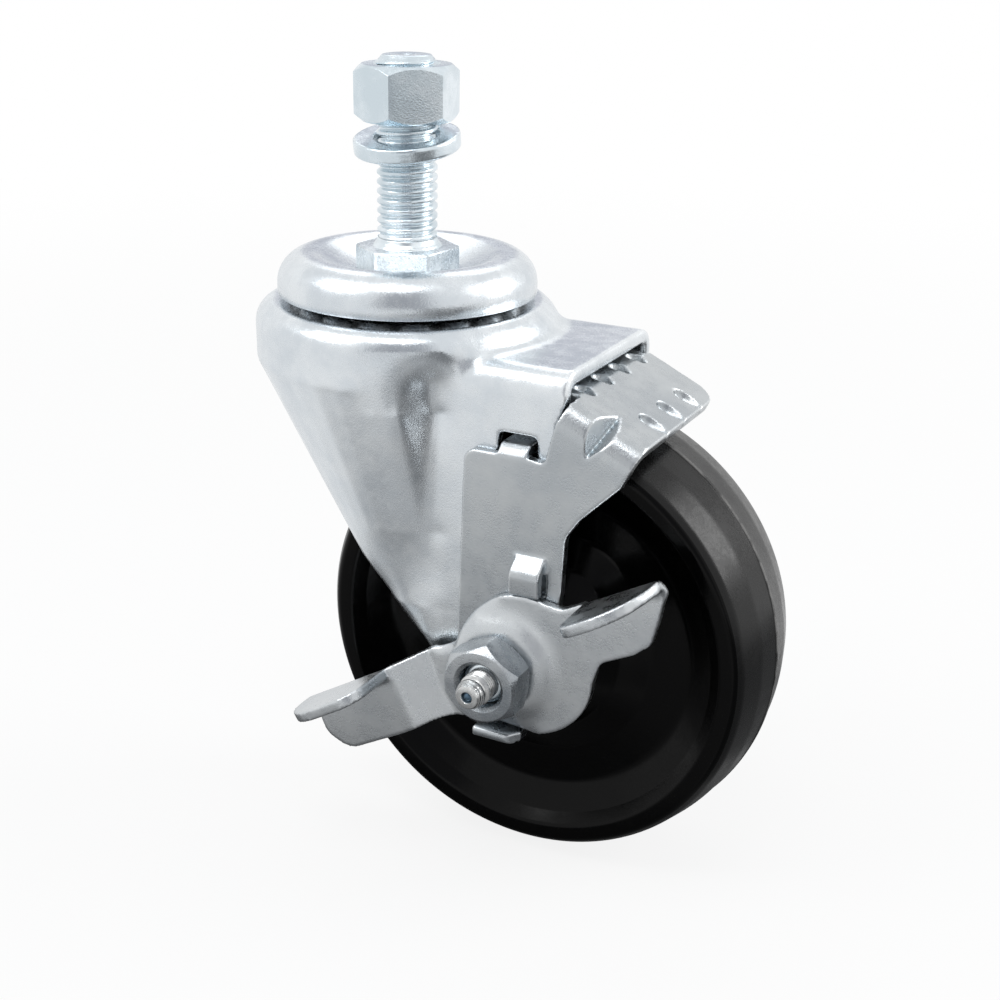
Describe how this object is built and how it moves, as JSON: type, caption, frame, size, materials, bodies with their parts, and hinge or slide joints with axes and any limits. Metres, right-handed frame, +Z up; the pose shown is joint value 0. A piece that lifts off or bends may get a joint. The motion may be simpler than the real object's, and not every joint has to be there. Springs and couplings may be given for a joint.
{
  "type": "threaded stem castor",
  "caption": "Swivel castor with a half inch threaded stem, double ball raceway fork, glossy black wheel on a roller bearing, and a foot lever top lock brake.",
  "frame": {"origin": "on the swivel axis, at the top face of the stem's hexagon, where the mounting plate seats", "axes": "+Z up along the stem and the swivel axis, +X towards the trailing wheel, -Y towards the brake lever"},
  "size_m": [0.1206, 0.0775, 0.1677],
  "materials": {
    "zinc": "satin bright zinc plating",
    "steel": "ground bearing steel",
    "cage_brass": "satin",
    "black_tread": "glossy"
  },
  "bodies": {
    "stem_unit": {"stem": "zinc", "upper_race": "zinc", "lower_race": "steel"},
    "stem_hardware": {"mounting_nut": "zinc", "lock_washer": "zinc"},
    "upper_ball_ring": {"upper_balls": "steel"},
    "lower_ball_ring": {"lower_balls": "steel"},
    "fork_unit": {"fork": "zinc", "axle": "steel", "axle_lock_washer": "zinc", "axle_nut": "zinc", "grease_fitting": "steel", "fitting_ball": "steel", "pivot_sleeve": "steel", "spanner_bushing": "steel", "thrust_washer_near": "zinc", "thrust_washer_far": "zinc"},
    "wheel_unit": {"wheel": "black_tread", "bearing_sleeve": "steel"},
    "roller_set": {"roller_cage": "cage_brass", "rollers": "steel"},
    "brake_slide_unit": {"brake_plate": "zinc"},
    "lever_unit": {"brake_lever": "zinc", "spring_washer": "steel"}
  },
  "joints": [
    {"name": "nut_lift", "type": "slide", "parent": "stem_unit", "child": "stem_hardware", "axis": [0, 0, 1], "range_m": [0, 0.022]},
    {"name": "swivel", "type": "hinge", "parent": "stem_unit", "child": "fork_unit", "pos_m": [0, 0, 0], "axis": [0, 0, 1], "continuous": true},
    {"name": "upper_balls_roll", "type": "hinge", "parent": "stem_unit", "child": "upper_ball_ring", "pos_m": [0, 0, 0], "axis": [0, 0, 1], "continuous": true},
    {"name": "lower_balls_roll", "type": "hinge", "parent": "stem_unit", "child": "lower_ball_ring", "pos_m": [0, 0, 0], "axis": [0, 0, 1], "continuous": true},
    {"name": "wheel_spin", "type": "hinge", "parent": "fork_unit", "child": "wheel_unit", "pos_m": [0.0373, 0, -0.0788], "axis": [0, 1, 0], "continuous": true},
    {"name": "rollers_turn", "type": "hinge", "parent": "fork_unit", "child": "roller_set", "pos_m": [0.0373, 0, -0.0788], "axis": [0, 1, 0], "continuous": true},
    {"name": "lever_turn", "type": "hinge", "parent": "fork_unit", "child": "lever_unit", "pos_m": [0.0373, 0, -0.0788], "axis": [0, 1, 0], "range_deg": [0, 36]},
    {"name": "brake_press", "type": "slide", "parent": "fork_unit", "child": "brake_slide_unit", "axis": [0, 0, -1], "range_m": [0, 0.0033]}
  ],
  "couplings": [
    {"joint": "upper_balls_roll", "follows": "swivel", "ratio": 0.5},
    {"joint": "lower_balls_roll", "follows": "swivel", "ratio": 0.5},
    {"joint": "rollers_turn", "follows": "wheel_spin", "ratio": 0.634},
    {"joint": "brake_press", "follows": "lever_turn", "m_per_rad": 0.005213}
  ]
}
